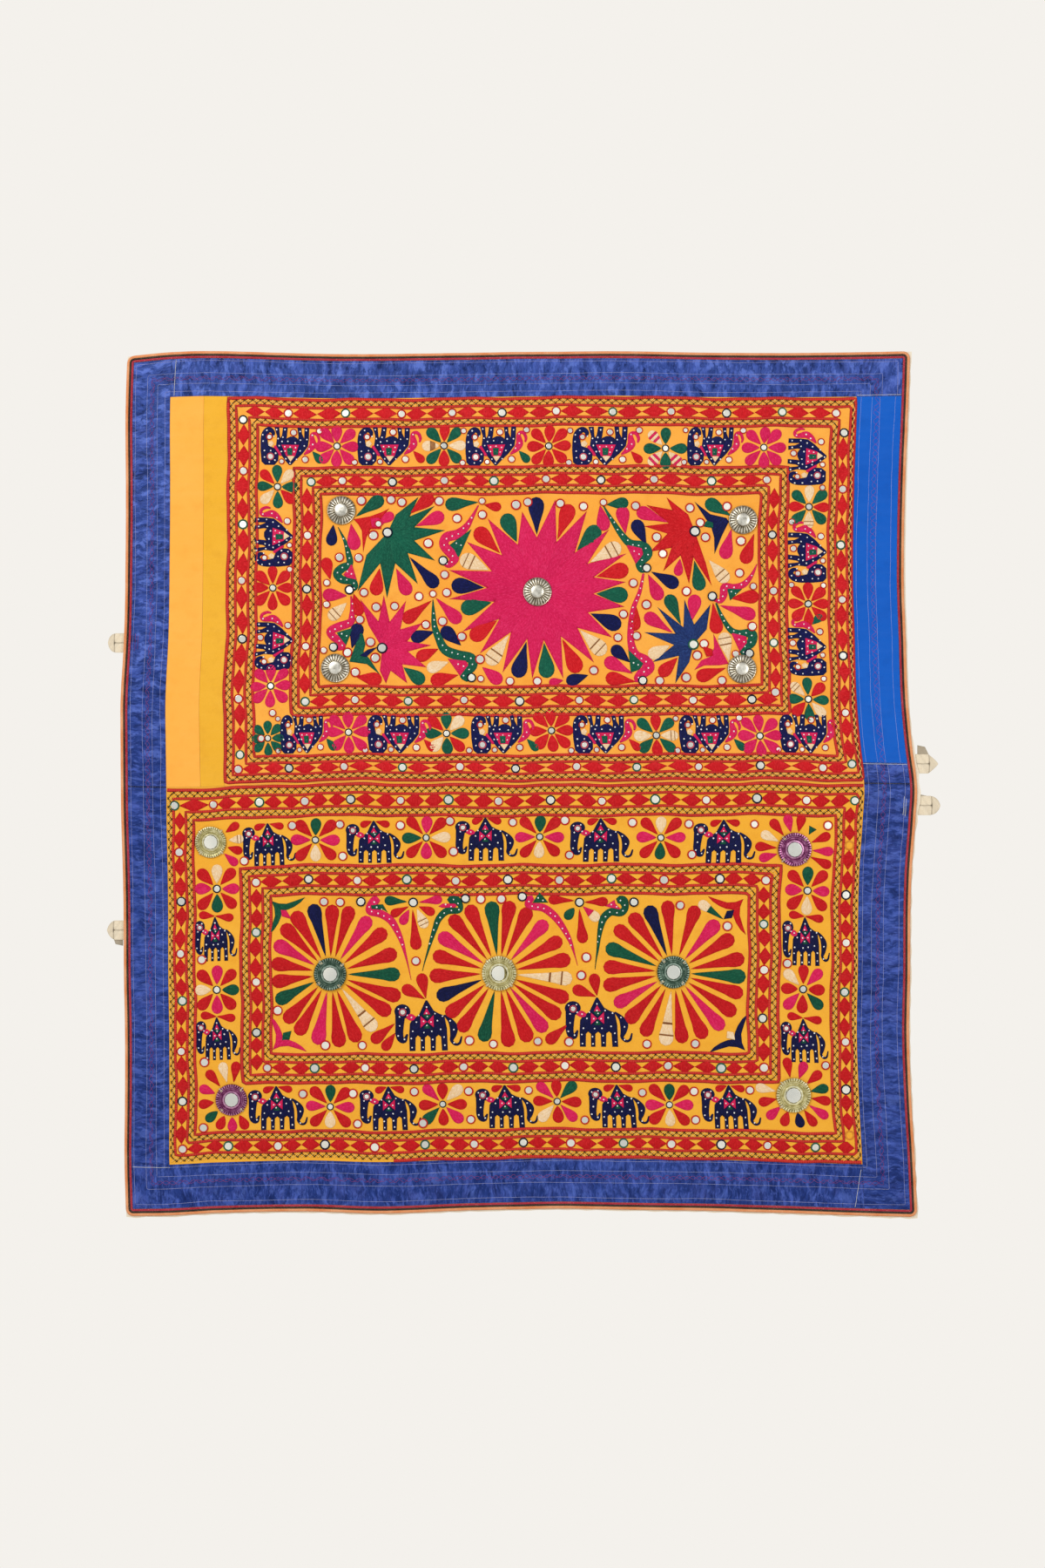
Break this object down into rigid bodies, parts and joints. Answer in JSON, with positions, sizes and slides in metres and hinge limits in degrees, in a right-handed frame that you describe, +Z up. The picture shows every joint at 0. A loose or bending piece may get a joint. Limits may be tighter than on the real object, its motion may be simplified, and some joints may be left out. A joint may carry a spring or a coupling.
{
  "type": "embroidered wall hanging",
  "caption": "Two embroidered mirror-work cotton panels joined in a quilted satin border with piped edge, sewn metal ornaments, tape loops and a cotton lining.",
  "frame": {"origin": "middle of the top edge, at the back of the lining", "axes": "+X to the right seen from the front, +Z up, the front faces -Y"},
  "size_m": [1.5358, 0.0232, 1.593],
  "materials": {
    "lining": "matte",
    "upper_ground": "matte",
    "lower_ground": "matte",
    "satin": "satin",
    "orange_cotton": "matte",
    "gold_cotton": "matte",
    "cobalt_cotton": "matte",
    "red_piping": "matte",
    "black_piping": "matte",
    "orange_binding": "matte",
    "cotton_tape": "matte",
    "red_thread": "silk floss",
    "pink_thread": "silk floss",
    "green_thread": "silk floss",
    "navy_thread": "silk floss",
    "black_thread": "cotton thread",
    "cream_thread": "silk floss",
    "white_thread": "cotton thread",
    "silver": "stamped",
    "gold_foil": "stamped foil",
    "green_foil": "stamped foil, lacquered green",
    "purple_foil": "stamped foil, lacquered purple",
    "mirror": "thin hand-cut mirror glass"
  },
  "bodies": {
    "root": {"lining": "lining", "upper_panel": "upper_ground", "lower_panel": "lower_ground", "orange_strip": "orange_cotton", "gold_strip": "gold_cotton", "cobalt_strip": "cobalt_cotton", "satin_top": "satin", "satin_left_upper": "satin", "satin_left_lower": "satin", "satin_right_upper": "satin", "satin_right_lower": "satin", "satin_bottom": "satin", "orange_binding": "orange_binding", "black_piping": "black_piping", "red_piping": "red_piping", "tab_left_upper": "cotton_tape", "tab_left_lower": "cotton_tape", "tab_right_upper": "cotton_tape", "tab_right_lower": "cotton_tape", "dome_centre": "silver", "dome_top_left": "silver", "dome_bottom_left": "silver", "dome_top_right": "silver", "dome_bottom_right": "silver", "disc_corner_top_left": "gold_foil", "disc_corner_top_right": "purple_foil", "disc_corner_bottom_left": "purple_foil", "disc_corner_bottom_right": "gold_foil", "disc_wheel_left": "green_foil", "disc_wheel_middle": "gold_foil", "disc_wheel_right": "green_foil"}
  },
  "joints": []
}
